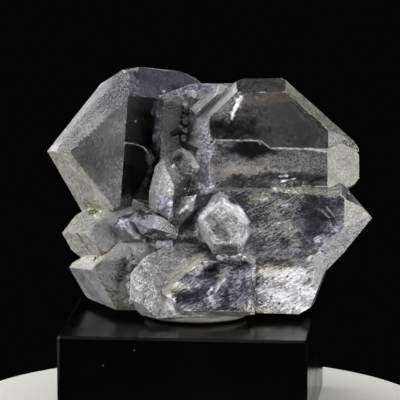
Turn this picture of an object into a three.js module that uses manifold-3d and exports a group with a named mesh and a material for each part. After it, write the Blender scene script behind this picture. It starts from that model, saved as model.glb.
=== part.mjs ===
// Smoky quartz cluster, pressed into a pad of putty on a square display block.
// Millimetres, +Z up. The origin is the centre of the block's underside.
//
// The cluster is laid out in its own frame: x to the right, y away from the front, z up. Each crystal
// is a six-sided prism with a six-faced point, cut by planes at the angles that quartz grows to. All
// the crystals have grown into each other, so they are joined into one solid, and the whole cluster
// leans back and is turned a little on its block.
import * as THREE from "three";
import { ConvexGeometry } from "three/addons/geometries/ConvexGeometry.js";
import { mergeVertices } from "three/addons/utils/BufferGeometryUtils.js";
import Module from "manifold-3d";

// ---- Driving dimensions -------------------------------------------------------------------------

const BLOCK_SIDE = 49;
const BLOCK_HEIGHT = 20;
const BLOCK_EDGE_BREAK = 0.5;

const PUTTY_RADIUS = 10.3;
const PUTTY_THICKNESS = 0.9;
const PUTTY_X = 0.9;
const PUTTY_Y = -2.4;
const FIT_GAP = 0.3;

// How high the flat underside of the cluster is held.
const BASE_LEVEL = BLOCK_HEIGHT + PUTTY_THICKNESS + 2 * FIT_GAP;

// How the cluster stands: its frame's origin over the block, how far it leans back and how far it turns.
const CLUSTER_AT = [3.1, 4.7, BLOCK_HEIGHT + 23.5];
const LEAN_DEG = 10.5;
const TURN_DEG = 5.2;

// Quartz: the faces of a point slope at this angle to the long axis.
const POINT_SLOPE_DEG = 38.2;
// A distance for a face that another face always hides.
const FAR = 60;

// ---- Crystals -----------------------------------------------------------------------------------
//
// at       a point on the crystal's long axis, near its tip
// heading  where the tip points, in degrees anticlockwise from x, as seen from the front
// toward   how far the tip leans towards the front, in degrees
// roll     turn about the long axis; at 0 side 0 faces the front
// sides    distances of the six sides from the axis, side 0 first, then every 60 degrees
// tip      where each of the six tip faces would cut the axis, measured from at towards the tip
// tail     the same at the other end, measured away from the tip
// length   instead of tail: where the crystal is broken off square
// trims    extra faces: [turn from side 0, slope towards the tip, distance from at]

const CRYSTALS = {
  leftPoint: {
    at: [-27.2, -13, 8.3], heading: 176, toward: 54, roll: 0,
    sides: [6.4, 12, 16, 11.6, 18, 13.4],
    tip: [0, FAR, 1.1, FAR, 0.4, FAR],
    tail: [44, 46, 48, 46, 63.5, 59.5],
    trims: [[270, 14, 11.3]],
  },
  rightUpper: {
    at: [29, -1.5, 10.4], heading: 0.5, toward: 0, roll: 1,
    sides: [4.5, 10.8, 11, 5.5, 6, 6],
    tip: [0, -0.3, -0.8, 1, 3, 3],
    tail: [35.1, 37.6, 36.7, 36, 34.6, 34.6],
  },
  rightStepLeft: {
    at: [15, -2, 3], heading: 0, toward: 0, roll: 0,
    sides: [4.4, 8.5, 8.5, 5, 4.3, 4.3],
    tip: [FAR, 5.8, 5.8, FAR, FAR, FAR],
    tail: [21, 25, 25, 15, 22, 22],
    trims: [[0, 90, 6]],
  },
  rightStepRight: {
    at: [29, -2, 3], heading: 0, toward: 0, roll: 0,
    sides: [4.4, 7.1, 7.1, 5.2, 3.8, 3.8],
    tip: [-0.3, 6, 6, 1.4, 1, 1],
    length: 18,
  },
  rightLower: {
    at: [26.2, -8, -3.6], heading: -2.5, toward: 3, roll: 2,
    sides: [0.4, 2.9, 8, 13, 17, 16],
    tip: [0.7, 3.1, 8, 12, 20, 3.9],
    length: 38,
    trims: [[90, 47, 3.3], [270, 48, 6], [0, 90, 5.9]],
  },
  rightFoot: {
    at: [20.3, -9.6, -14.5], heading: 2, toward: 8, roll: 6,
    sides: [0.5, 2.2, 9, 12, 12, 9.5],
    tip: [0.7, 4, 6, 6.9, 14, 12],
    length: 26,
    trims: [[270, 66, 2.4], [270, 27, 6.8]],
  },
  frontPoint: {
    at: [2, -16, -2.7], heading: 91, toward: 57, roll: 0,
    sides: [4.8, 3.9, 4.1, 5.4, 5.1, 5],
    tip: [0.1, FAR, 0.9, FAR, 0.4, FAR],
    length: 22,
  },
  foot: {
    at: [-7.8, -13.5, -18.9], heading: 179, toward: 9.5, roll: 0,
    sides: [0, 3.7, 7, 10, 14, 4.8],
    tip: [0, 2, 5, 3.5, 4.6, 0.5],
    length: 16,
  },
  footStep: {
    at: [-7.8, -13.5, -18.9], heading: 179, toward: 9.5, roll: 0,
    sides: [-1.6, 4.5, 10, 22, 12.9, 4.6],
    tip: [3.5, 8, 14, 12, 13, 11.5],
    length: 17,
  },
  centrePrism: {
    at: [-7.7, -8, 2.5], heading: 89.6, toward: 25, roll: 9.6,
    sides: [5.7, 6.3, 2.7, 5, 7.4, 2.2],
    tip: [6.6, 7.6, 7, 8, 8, 3.4],
    length: 12,
  },
  centrePoint: {
    at: [-6.2, -10.5, 7.4], heading: 88, toward: 60, roll: 0,
    sides: [2.4, 3.2, 3.3, 3.2, 3.6, 3.3],
    tip: [0, FAR, 0.2, FAR, 0.2, FAR],
    length: 8,
  },
  slender: {
    at: [-3.2, -11, -0.6], heading: 48, toward: 20, roll: 20,
    sides: [1.9, 1.9, 1.7, 2, 1.9, 1.7],
    tip: [0, 0.3, 0.2, 0.6, 0.4, 0.2],
    length: 12,
  },
  leftwardStub: {
    at: [-15.2, -12, -5.2], heading: 163, toward: 30, roll: 15,
    sides: [2.5, 2.3, 2.2, 2.8, 2.8, 2.4],
    tip: [0, 0.3, 0.3, 0.6, 0.2, 0.2],
    length: 9,
  },
  leftDome: {
    at: [-17.6, -11.5, -6], heading: 150, toward: 62, roll: 10,
    sides: [2.9, 2.8, 2.7, 3, 2.8, 2.9],
    tip: [0, 0.4, 0.2, 0.5, 0.1, 0.4],
    length: 8,
  },
  lowerLeft: {
    at: [-24.1, -9, -7.9], heading: 175, toward: 54, roll: 2,
    sides: [8, 9, 9, 12, 9, 9],
    tip: [0.7, 2.9, 1.2, FAR, 0.7, FAR],
    tail: [32, 36, 38, 34, 40, 36],
  },
  lowestLeft: {
    at: [-23, -10, -14.8], heading: 176, toward: 54, roll: 0,
    sides: [9, 10, 10.9, 11.3, 6, 8],
    tip: [-0.2, 2.3, 1.4, FAR, 0.3, FAR],
    tail: [36, 39, 42, 40, 38, 37],
  },
  wedgeUpper: {
    at: [2.5, -2.4, 21.4], heading: 43, toward: 0, roll: 10,
    sides: [2, 1, 1.1, 3, 1.1, 1],
    tip: [0, 0.5, 0.4, 0, 0.4, 0.5],
    length: 8,
  },
  wedgeLeft: {
    at: [-3.9, -1.8, 20.6], heading: 105, toward: 40, roll: 30,
    sides: [1.1, 1, 1.1, 1, 1.1, 1],
    tip: [0, 0.3, 0.2, 0.3, 0, 0.2],
    length: 5,
  },
  wedgeMiddle: {
    at: [-1.6, -1.2, 20.9], heading: 80, toward: 30, roll: 0,
    sides: [1.4, 1.5, 1.3, 1.4, 1.4, 1.4],
    tip: [0, 0.3, 0.2, 0.3, 0, 0.2],
    length: 5,
  },
  backRidge: {
    at: [20, 12, 12], heading: 0, toward: 0, roll: 0,
    sides: [12.4, 13, 12, 9, 9, 13],
    tip: [2, 2, 0, 1, 0, 2],
    length: 38,
    trims: [[90, 0, 10], [90, -21.5, 18]],
  },
  backUp: {
    at: [9, 27, 15], heading: 50, toward: -48, roll: 10,
    sides: [5.5, 6.5, 6, 7, 6, 6.5],
    tip: [0, 1, 0, 1.4, 0, 1],
    length: 24,
  },
  backRight: {
    at: [25, 12, 3], heading: 8, toward: -32, roll: 20,
    sides: [6, 7, 6.5, 6, 7, 6.5],
    tip: [0, 1, 0.3, 1.6, 0, 1],
    length: 20,
  },
  backLow: {
    at: [17, 17, -12], heading: -20, toward: -48, roll: 5,
    sides: [6, 5.5, 6, 6.5, 6, 5.5],
    tip: [0, 0.8, 0.2, 1.2, 0, 1],
    length: 17,
  },
  backLeft: {
    at: [-20, 14, -4], heading: 168, toward: -36, roll: 15,
    sides: [6.5, 7, 6.5, 6, 7, 6],
    tip: [0, 0.8, 0.4, 1.2, 0.2, 1],
    length: 18,
  },
  backFoot: {
    at: [1, 27, -8], heading: 250, toward: -58, roll: 0,
    sides: [5, 5.5, 5, 6, 5, 5.5],
    tip: [0, 0.6, 0.2, 1, 0, 0.8],
    length: 20,
  },
};

// Where crusts of small crystals have grown, along the grooves between the large ones: where the run
// starts and ends, how many crystals, half their width, and which way they point on average.
const GROOVES = [
  {
    from: [-24.6, -0.6, -3.7], to: [-18.6, -8.4, -4.2],
    count: 6, size: 0.6, heading: 120, toward: 55, spread: 50,
  },
  {
    from: [-5.4, -0.9, 18.6], to: [-5.8, -3.3, 11],
    count: 8, size: 0.7, heading: 90, toward: 50, spread: 60,
  },
  {
    from: [-16.2, -10, -11.6], to: [-16, -11, -22.6],
    count: 8, size: 0.8, heading: 170, toward: 50, spread: 60,
  },
  {
    from: [-14, -12.9, -13.8], to: [-12.4, -13.1, -22.6],
    count: 8, size: 0.6, heading: 130, toward: 60, spread: 60,
  },
  {
    from: [12.9, -7.6, 0.6], to: [26, -7, 0.5],
    count: 9, size: 0.5, heading: 80, toward: 60, spread: 50,
  },
  {
    from: [2.6, -13.4, -12.9], to: [7.4, -13, -12.6],
    count: 4, size: 0.6, heading: 10, toward: 55, spread: 30,
  },
  {
    from: [-23.8, -6.4, -12.9], to: [-18.6, -9, -12.9],
    count: 6, size: 0.5, heading: 110, toward: 60, spread: 50,
  },
  {
    from: [3, 24, 4], to: [9, 17, -6],
    count: 9, size: 1.2, heading: 100, toward: -60, spread: 60,
  },
  {
    from: [18, 9, 14], to: [24, 10, -8],
    count: 7, size: 1.1, heading: 40, toward: -50, spread: 50,
  },
];

// Etch pits in the front of the lowest right-hand crystal: [x, z, half length, half width, tilt].
const PITS = [
  [14.4, -14.6, 0.7, 0.35, 25],
  [15, -16.6, 0.5, 0.2, 30],
  [12.2, -17, 0.4, 0.25, 60],
  [8.9, -18.4, 0.5, 0.25, 40],
  [10.4, -17.8, 0.4, 0.2, 20],
  [17.6, -19.1, 0.45, 0.25, 35],
  [11.8, -20.6, 0.5, 0.2, 30],
  [13.4, -21.9, 0.6, 0.2, 20],
  [19.3, -17.1, 0.4, 0.15, 35],
  [18.4, -14.8, 0.8, 0.2, 20],
  [10.6, -13.6, 0.5, 0.2, 45],
  [16.2, -23, 0.5, 0.2, 25],
];

// ---- Making a solid from planes -----------------------------------------------------------------

const radians = THREE.MathUtils.degToRad;
const wasm = await Module();
wasm.setup();

// The body inside all the planes, each a unit normal and how far out it lies, as a closed mesh.
function solidInside(planes) {
  const corners = [];
  const cross = new THREE.Vector3();
  for (let i = 0; i < planes.length; i++)
    for (let j = i + 1; j < planes.length; j++)
      for (let k = j + 1; k < planes.length; k++) {
        const [a, b, c] = [planes[i], planes[j], planes[k]];
        const volume = a.normal.dot(cross.crossVectors(b.normal, c.normal));
        if (Math.abs(volume) < 1e-4) continue;
        const corner = cross.clone().multiplyScalar(a.out)
          .addScaledVector(new THREE.Vector3().crossVectors(c.normal, a.normal), b.out)
          .addScaledVector(new THREE.Vector3().crossVectors(a.normal, b.normal), c.out)
          .divideScalar(volume);
        if (planes.every((p) => p.normal.dot(corner) < p.out + 1e-6)) corners.push(corner);
      }
  return new ConvexGeometry(corners);
}

function planesOf({ at, heading, toward, roll, sides, tip, tail, length, trims = [] }) {
  const point = new THREE.Vector3(...at);
  const lean = radians(toward);
  const axis = new THREE.Vector3(
    Math.cos(lean) * Math.cos(radians(heading)),
    -Math.sin(lean),
    Math.cos(lean) * Math.sin(radians(heading)),
  );
  const front = new THREE.Vector3(0, -1, 0).projectOnPlane(axis).normalize();
  front.applyAxisAngle(axis, radians(roll));
  const across = new THREE.Vector3().crossVectors(front, axis);
  const outward = (turn, slope) => {
    const level = Math.cos(radians(slope));
    return front.clone().multiplyScalar(level * Math.cos(radians(turn)))
      .addScaledVector(across, level * Math.sin(radians(turn)))
      .addScaledVector(axis, Math.sin(radians(slope)));
  };
  const slope = POINT_SLOPE_DEG;
  const climb = Math.sin(radians(slope));
  const planes = [];
  const add = (normal, out) => planes.push({ normal, out: out + normal.dot(point) });
  sides.forEach((distance, k) => add(outward(60 * k, 0), distance));
  tip.forEach((height, k) => add(outward(60 * k, slope), height * climb));
  if (tail) tail.forEach((height, k) => add(outward(60 * k, -slope), height * climb));
  else add(outward(0, -90), length);
  trims.forEach(([turn, rise, distance]) => add(outward(turn, rise), distance));
  return planes;
}

function manifoldOf(geometry) {
  const bare = geometry.clone();
  bare.deleteAttribute("normal");
  bare.deleteAttribute("uv");
  const merged = mergeVertices(bare, 1e-5);
  const triVerts = new Uint32Array(merged.index.array);
  return new wasm.Manifold(
    new wasm.Mesh({ numProp: 3, vertProperties: merged.attributes.position.array, triVerts }),
  );
}

function geometryOf(manifold) {
  const mesh = manifold.getMesh();
  const geometry = new THREE.BufferGeometry();
  geometry.setAttribute("position", new THREE.BufferAttribute(mesh.vertProperties, 3));
  geometry.setIndex(new THREE.BufferAttribute(mesh.triVerts, 1));
  geometry.computeVertexNormals();
  return geometry;
}

// A repeatable run of numbers between 0 and 1, for what varies from crystal to crystal.
function sequence(seed) {
  let state = seed;
  return () => {
    state = (state * 16807) % 2147483647;
    return state / 2147483647;
  };
}

// Small crystals strung along a groove, rooted in it and leaning every way out of it.
function crust({ from, to, count, size, heading, toward, spread }, random) {
  const vary = (amount) => (random() - 0.5) * 2 * amount;
  const start = new THREE.Vector3(...from);
  const end = new THREE.Vector3(...to);
  const crystals = [];
  for (let i = 0; i < count; i++) {
    const spot = start.clone().lerp(end, (i + 0.5 + vary(0.3)) / count);
    const half = size * (0.7 + 0.6 * random());
    crystals.push({
      at: spot.toArray(),
      heading: heading + vary(spread),
      toward: toward + vary(spread / 3),
      roll: 60 * random(),
      sides: [1, 0.9, 1.05, 1, 0.85, 1.1].map((share) => half * share),
      tip: [0, 0.25, 0.05, 0.4, 0.1, 0.3].map((share) => half * share),
      length: size * 6,
    });
  }
  return crystals;
}

// A shallow etch pit: a long, narrow, pointed hollow sunk into the front face of a crystal.
function pitIn(crystal, [x, z, long, wide, tilt]) {
  const front = planesOf(crystal)[0];
  const y = (front.out - front.normal.x * x - front.normal.z * z) / front.normal.y;
  const corners = [
    [long, 0, 0], [-long, 0, 0], [0.2 * long, 0, wide], [-0.2 * long, 0, -wide],
    [0, 0.5 * wide, 0.3 * wide], [0, -0.6, 0],
  ].map((corner) => new THREE.Vector3(...corner));
  const pit = new ConvexGeometry(corners);
  pit.rotateY(-radians(tilt));
  pit.translate(x, y, z);
  return manifoldOf(pit);
}

function clusterGeometry() {
  const random = sequence(29);
  const crystals = [...Object.values(CRYSTALS), ...GROOVES.flatMap((groove) => crust(groove, random))];
  let cluster = null;
  for (const crystal of crystals) {
    const grown = manifoldOf(solidInside(planesOf(crystal)));
    cluster = cluster ? cluster.add(grown) : grown;
  }
  for (const pit of PITS) cluster = cluster.subtract(pitIn(CRYSTALS.rightFoot, pit));
  return geometryOf(cluster);
}

// ---- The three pieces ---------------------------------------------------------------------------

const group = new THREE.Group();

const stance = new THREE.Matrix4().compose(
  new THREE.Vector3(...CLUSTER_AT),
  new THREE.Quaternion().setFromEuler(new THREE.Euler(-radians(LEAN_DEG), 0, radians(TURN_DEG), "ZYX")),
  new THREE.Vector3(1, 1, 1),
);

// The underside is broken off flat, level with the block.
const ground = new THREE.BoxGeometry(200, 200, 60);
ground.translate(0, 0, BASE_LEVEL - 30);
const clusterSolid = manifoldOf(clusterGeometry().applyMatrix4(stance)).subtract(manifoldOf(ground));
const cluster = new THREE.Mesh(
  geometryOf(clusterSolid),
  new THREE.MeshStandardMaterial({
    color: 0xb9b8b4, roughness: 0.25, metalness: 0, transparent: true, opacity: 0.6,
  }),
);
cluster.name = "quartz_cluster";
group.add(cluster);

// A pad of soft putty squeezed out to a thin round-edged disc between the crystals and the block.
const halfPad = PUTTY_THICKNESS / 2;
const profile = [new THREE.Vector2(0, 0), new THREE.Vector2(PUTTY_RADIUS - halfPad, 0)];
for (let step = 1; step < 6; step++) {
  const turn = -Math.PI / 2 + (Math.PI * step) / 6;
  profile.push(new THREE.Vector2(
    PUTTY_RADIUS - halfPad + halfPad * Math.cos(turn),
    halfPad + halfPad * Math.sin(turn),
  ));
}
profile.push(new THREE.Vector2(PUTTY_RADIUS - halfPad, PUTTY_THICKNESS));
profile.push(new THREE.Vector2(0, PUTTY_THICKNESS));
const pad = new THREE.LatheGeometry(profile, 48);
pad.rotateX(Math.PI / 2);
pad.translate(PUTTY_X, PUTTY_Y, BLOCK_HEIGHT + FIT_GAP);
const putty = new THREE.Mesh(
  geometryOf(manifoldOf(pad)),
  new THREE.MeshStandardMaterial({ color: 0xa9a396, roughness: 0.9, metalness: 0 }),
);
putty.name = "mounting_putty";
group.add(putty);

// The block: a solid square of black acrylic with its edges just taken off.
const side = BLOCK_SIDE / 2;
const edge = BLOCK_EDGE_BREAK;
const blockCorners = [];
for (const [reach, other, level] of [[side, side - edge, edge], [side - edge, side - edge, 0]])
  for (const [u, v] of [[reach, other], [other, reach]])
    for (const mx of [-1, 1])
      for (const my of [-1, 1])
        for (const z of [level, BLOCK_HEIGHT - level])
          blockCorners.push(new THREE.Vector3(u * mx, v * my, z));
const block = new THREE.Mesh(
  new ConvexGeometry(blockCorners),
  new THREE.MeshStandardMaterial({ color: 0x0b0b0c, roughness: 0.12, metalness: 0 }),
);
block.name = "display_block";
group.add(block);

export default group;
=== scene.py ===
import math

import bmesh
import bpy
import numpy as np
from mathutils import Matrix, Vector
from mathutils.bvhtree import BVHTree


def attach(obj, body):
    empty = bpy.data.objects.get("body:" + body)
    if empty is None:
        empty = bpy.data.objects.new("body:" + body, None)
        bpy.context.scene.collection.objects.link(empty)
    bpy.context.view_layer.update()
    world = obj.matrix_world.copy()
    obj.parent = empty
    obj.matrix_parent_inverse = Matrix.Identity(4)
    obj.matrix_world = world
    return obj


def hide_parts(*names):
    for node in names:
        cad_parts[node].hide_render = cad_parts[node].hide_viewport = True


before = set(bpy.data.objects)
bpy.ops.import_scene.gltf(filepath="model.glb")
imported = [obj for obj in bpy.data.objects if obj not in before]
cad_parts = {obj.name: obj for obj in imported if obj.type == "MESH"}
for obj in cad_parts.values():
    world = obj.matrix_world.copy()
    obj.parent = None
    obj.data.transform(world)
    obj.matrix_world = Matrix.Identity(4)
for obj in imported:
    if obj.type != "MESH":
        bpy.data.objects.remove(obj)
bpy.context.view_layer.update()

# A cluster of clear to faintly smoky quartz crystals, partly frosted by etching. It is pressed into a
# pad of putty on a polished black block. The block keeps its solid, and the cluster and the putty are
# replaced by finer meshes.

MM = 0.001


# ---- Small helpers ------------------------------------------------------------------------------

def linear(hex_colour):
    """An sRGB hex colour as the linear red, green, blue and alpha that shaders use."""
    parts = [int(hex_colour[i:i + 2], 16) / 255 for i in (1, 3, 5)]
    return [p / 12.92 if p <= 0.04045 else ((p + 0.055) / 1.055) ** 2.4 for p in parts] + [1.0]


def add_node(tree, kind, feeds=None, **settings):
    """One node with its settings. feeds gives each socket a value, or a link from another socket."""
    made = tree.nodes.new(kind)
    for name, value in settings.items():
        setattr(made, name, value)
    for socket, value in (feeds or {}).items():
        if isinstance(value, bpy.types.NodeSocket):
            tree.links.new(value, made.inputs[socket])
        else:
            made.inputs[socket].default_value = value
    return made


def new_material(name):
    """An empty material and its output node."""
    material = bpy.data.materials.new(name)
    material.use_nodes = True
    material.node_tree.nodes.clear()
    return material, material.node_tree, add_node(material.node_tree, "ShaderNodeOutputMaterial")


def new_piece(name, mesh):
    piece = bpy.data.objects.new(name, mesh)
    bpy.context.scene.collection.objects.link(piece)
    return piece


def step(low, high, values):
    """0 below low, 1 above high and smooth between them."""
    t = np.clip((values - low) / (high - low), 0, 1)
    return t * t * (3 - 2 * t)


# ---- Camera -------------------------------------------------------------------------------------

# The cluster's own frame leans and turns on the block, so that its y axis points straight away from
# the viewer. The camera is placed in that frame.
CLUSTER_AT = Vector((3.1, 4.7, 43.5)) * MM
LEAN = math.radians(10.5)
TURN = math.radians(5.2)
CLUSTER = (
    Matrix.Translation(CLUSTER_AT) @ Matrix.Rotation(TURN, 4, "Z") @ Matrix.Rotation(-LEAN, 4, "X")
)
VIEW_FROM = Vector((-2.2, -840, -1.4)) * MM
FIELD_OF_VIEW = math.radians(5.453)


def add_camera():
    data = bpy.data.cameras.new("camera")
    data.sensor_fit = "HORIZONTAL"
    data.angle = FIELD_OF_VIEW
    data.clip_start = 0.05
    camera = bpy.data.objects.new("camera", data)
    camera.matrix_world = CLUSTER @ Matrix.Translation(VIEW_FROM) @ Matrix.Rotation(math.pi / 2, 4, "X")
    bpy.context.scene.collection.objects.link(camera)
    bpy.context.scene.camera = camera


# ---- Studio -------------------------------------------------------------------------------------

FLOOR_RADIUS = 48 * MM
FLOOR_CORNERS = 96
# The floor lies this far under the block, so that the two don't share a plane.
FLOOR_DROP = 0.1 * MM
# name: where it stands and its width and height, in mm, then its watts
SOFT_LIGHTS = {
    "left": ((-325, -50, 110), (260, 300), 2.5),
    "right": ((290, -160, 110), (220, 300), 2.0),
    "above": ((0, 20, 380), (260, 220), 0.8),
    "behind": ((-330, 240, 220), (220, 220), 0.8),
    "front": ((-60, -420, 330), (260, 160), 1.2),
}
# Every light is aimed at the middle of the cluster.
AIM = Vector((0, 4, 42)) * MM


# Uncoated card, pressed from pale grey pulp: matt, with a faint mottle of this size.
MOTTLE_MM = 1.0667


def pale_card():
    material, tree, output = new_material("pale_card")
    # Unlinked, the pattern's coordinates run from 0 to 1 across the floor.
    mottle = add_node(tree, "ShaderNodeTexNoise", {
        "Scale": 2 * FLOOR_RADIUS / (MOTTLE_MM * MM), "Detail": 3.0,
    })
    colour = add_node(tree, "ShaderNodeMix", {
        "Factor": mottle.outputs["Fac"], "A": linear("#aeada9"), "B": linear("#b5b4b0"),
    }, data_type="RGBA")
    card = add_node(tree, "ShaderNodeBsdfPrincipled", {
        "Base Color": colour.outputs["Result"], "Roughness": 0.9, "Specular IOR Level": 0.2,
    })
    tree.links.new(card.outputs["BSDF"], output.inputs["Surface"])
    return material


def add_floor():
    mesh = bpy.data.meshes.new("floor")
    turns = [2 * math.pi * k / FLOOR_CORNERS for k in range(FLOOR_CORNERS)]
    rim = [(FLOOR_RADIUS * math.cos(t), FLOOR_RADIUS * math.sin(t), -FLOOR_DROP) for t in turns]
    mesh.from_pydata(rim, [], [list(range(FLOOR_CORNERS))])
    mesh.materials.append(pale_card())
    new_piece("floor", mesh)


def add_lights():
    for name, (place, (wide, high), watts) in SOFT_LIGHTS.items():
        data = bpy.data.lights.new(name, "AREA")
        data.shape = "RECTANGLE"
        data.size = wide * MM
        data.size_y = high * MM
        data.energy = watts
        light = bpy.data.objects.new(name, data)
        light.location = Vector(place) * MM
        light.rotation_euler = (AIM - light.location).to_track_quat("-Z", "Y").to_euler()
        bpy.context.scene.collection.objects.link(light)
    world = bpy.data.worlds.new("dark_room")
    world.use_nodes = True
    world.node_tree.nodes["Background"].inputs["Color"].default_value = linear("#050506")
    bpy.context.scene.world = world
    bpy.context.scene.view_settings.view_transform = "Standard"


# ---- Quartz: colours and where each finish lies -------------------------------------------------
#
# Every place below is x and z in the cluster's own frame, in mm, as seen from straight in front.
# haze   how frosted the skin is: 0 is a clear window into the smoky inside, 1 is white and opaque
# grain  how strongly the etched skin is speckled
# fibre  how strongly it is combed into fine streaks
# dust   how much green chlorite lies on it
# wear   how strongly its crystal edges are whitened, partly as bruises and partly as painted highlights
# tint   the colour of the frost there

GREY = "#d5d4d6"
LILAC = "#cac8d9"
WARM = "#d8d4c9"
PINK = "#dbd0c9"
OLIVE = "#cfcec2"
TAN = "#d7d0c4"
WHITE = "#f4f2f6"
# A dark grey that paints the shade on the ground between the crystals.
GROUND_SHADE_GREY = "#4e4e51"
CHLORITE = "#70783f"

# What a face has where its finish doesn't say.
PLAIN = {"haze": 0.3, "grain": 0.5, "fibre": 0, "dust": 0, "edge_bruise_and_highlight": 1}

# name: a spot on the face, then its finish
FACES = {
    "left point, front": ((-23, 8.5), dict(haze=0.11, grain=0.3, tint=GREY)),
    "left point, upper": ((-24, 16.4), dict(haze=0.145, grain=0.6, tint=GREY)),
    "left point, lower": ((-25, -0.4), dict(haze=0.35, grain=0.6, tint=WARM)),
    "left point, top": ((-12, 21.8), dict(haze=0.11, grain=0.35, tint=LILAC)),
    "left point, window": ((-15, 8.5), dict(haze=0, grain=0.3, tint=GREY, edge_bruise_and_highlight=0.4)),
    "upper plate, top": ((11.7, 21.6), dict(haze=0.04, grain=0.6, tint=GREY)),
    "upper plate": ((11.7, 14.4), dict(haze=0.042, grain=0.6, tint=GREY)),
    "upper plate, bevel": ((21.2, 16.8), dict(haze=0.18, grain=0.6, tint=OLIVE)),
    "lower plate": ((7.7, 5.5), dict(haze=0.12, grain=0.5, tint=GREY)),
    "plates, right end": ((26, 5.5), dict(haze=0.31, grain=0.35, tint=OLIVE)),
    "lower crystal": ((21.6, -5), dict(haze=0.095, grain=0.5, fibre=0.9, tint=LILAC)),
    "lower crystal, right end": ((28.7, -4.4), dict(haze=0.34, grain=0.45, tint=OLIVE)),
    "lower crystal, lower right": ((22.7, -11.1), dict(haze=0.6, grain=0.7, tint=GREY)),
    "right foot": ((14.6, -20.2), dict(haze=0.47, grain=0.25, fibre=0.8, tint=WHITE)),
    "front point": ((2.2, -6.9), dict(haze=0.34, grain=0.5, fibre=0.3, tint=LILAC, edge_bruise_and_highlight=0.15)),
    "wedge": ((-1.2, 18.4), dict(haze=0.19, grain=0.8, tint=GREY)),
    "upright point": ((-5.2, 6.5), dict(haze=0.155, grain=0.7, tint=GREY)),
    "upright prism, left": ((-9.9, -1), dict(haze=0.45, grain=0.6, fibre=0.4, tint=LILAC)),
    "slender prism": ((-4.2, -2.6), dict(haze=0.13, grain=0.6, tint=GREY)),
    "stub, front": ((-14.7, -6.5), dict(haze=0.17, grain=0.7, fibre=0.3, tint=LILAC)),
    "dome, front": ((-18.4, -6.3), dict(haze=0.33, grain=0.7, fibre=0.3, tint=LILAC)),
    "lower left, front": ((-23, -8.1), dict(haze=0.34, grain=0.4, tint=GREY)),
    "lower left, upper": ((-25.4, -4.6), dict(haze=0.18, grain=0.9, tint=OLIVE)),
    "lower left, lower": ((-26, -10.1), dict(haze=0.35, grain=0.7, tint=OLIVE)),
    "lowest left, front": ((-20.6, -16.3), dict(haze=0.35, grain=0.35, tint=GREY)),
    "lowest left, lower": ((-17.1, -20.8), dict(haze=0.44, grain=0.7, fibre=0.4, tint=OLIVE)),
    "lowest left, outer": ((-25.6, -14.9), dict(haze=0.42, grain=0.5, tint=OLIVE)),
    "foot, window": ((2.2, -19.2), dict(haze=0.072, grain=0.15, fibre=1, tint=LILAC)),
    "foot, top": ((-6.2, -11.3), dict(haze=0.245, grain=0.8, tint=GREY)),
}


def oval(at, half, tilt=0.0):
    """How far points lie outside an oval: half its width and height, then its tilt in degrees."""
    turn = math.radians(tilt)

    def outside(x, z):
        along = (x - at[0]) * math.cos(turn) + (z - at[1]) * math.sin(turn)
        over = (z - at[1]) * math.cos(turn) - (x - at[0]) * math.sin(turn)
        return (np.hypot(along / half[0], over / half[1]) - 1) * min(half)

    return outside


def streak(points, half):
    """How far points lie outside a band that follows a line, with half the band's width."""
    def outside(x, z):
        nearest = np.full(len(x), np.inf)
        for (x0, z0), (x1, z1) in zip(points, points[1:]):
            run, rise = x1 - x0, z1 - z0
            along = np.clip(((x - x0) * run + (z - z0) * rise) / (run * run + rise * rise), 0, 1)
            nearest = np.minimum(nearest, np.hypot(x - x0 - along * run, z - z0 - along * rise))
        return nearest - half

    return outside


def flat(points):
    """How far points lie outside a straight-sided patch, its corners given anticlockwise."""
    def outside(x, z):
        farthest = np.full(len(x), -np.inf)
        for (x0, z0), (x1, z1) in zip(points, points[1:] + points[:1]):
            side = math.hypot(x1 - x0, z1 - z0)
            farthest = np.maximum(farthest, ((x - x0) * (z1 - z0) - (z - z0) * (x1 - x0)) / side)
        return farthest

    return outside


# The strokes of the bright flash inside the front foot, each from its lower to its upper end.
FLASH = [
    ((-1.5, -23), (-0.7, -21.4)),
    ((-0.9, -22.2), (0.4, -19.8)),
    ((-0.2, -22.6), (0.6, -21.2)),
    ((0.2, -20.8), (1.5, -18.5)),
    ((-0.5, -19.8), (0.3, -18.4)),
    ((1.2, -19.2), (2.5, -17)),
]

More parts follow.
